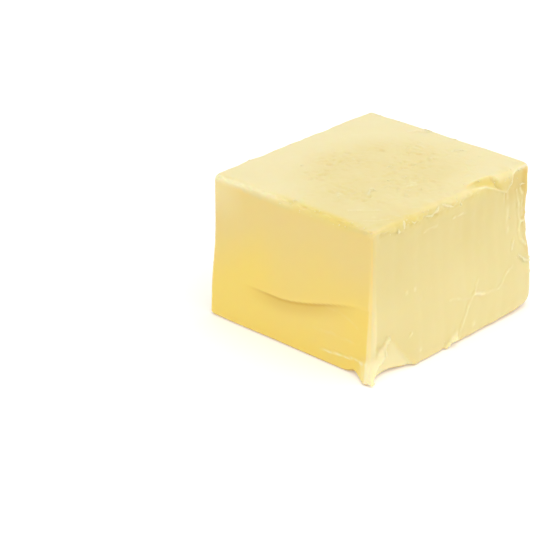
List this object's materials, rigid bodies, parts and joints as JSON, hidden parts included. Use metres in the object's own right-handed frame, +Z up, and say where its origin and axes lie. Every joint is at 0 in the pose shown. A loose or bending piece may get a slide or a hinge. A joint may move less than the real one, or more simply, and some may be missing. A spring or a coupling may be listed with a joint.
{
  "type": "block of butter",
  "caption": "Brick of butter with one end cut off clean, its other faces marked by the wrapper, to stand on a dish, board or shelf.",
  "frame": {"origin": "under the middle of the block, at the height of the surface that it stands on", "axes": "+X along the brick from the cut face to the wrapped end, +Y from the near side to the far side, +Z up"},
  "size_m": [0.0756, 0.0682, 0.0467],
  "materials": {
    "butter": "satin, waxy, pale yellow butter with light shining a little way into it"
  },
  "bodies": {
    "root": {"butter_block": "butter"}
  },
  "joints": []
}
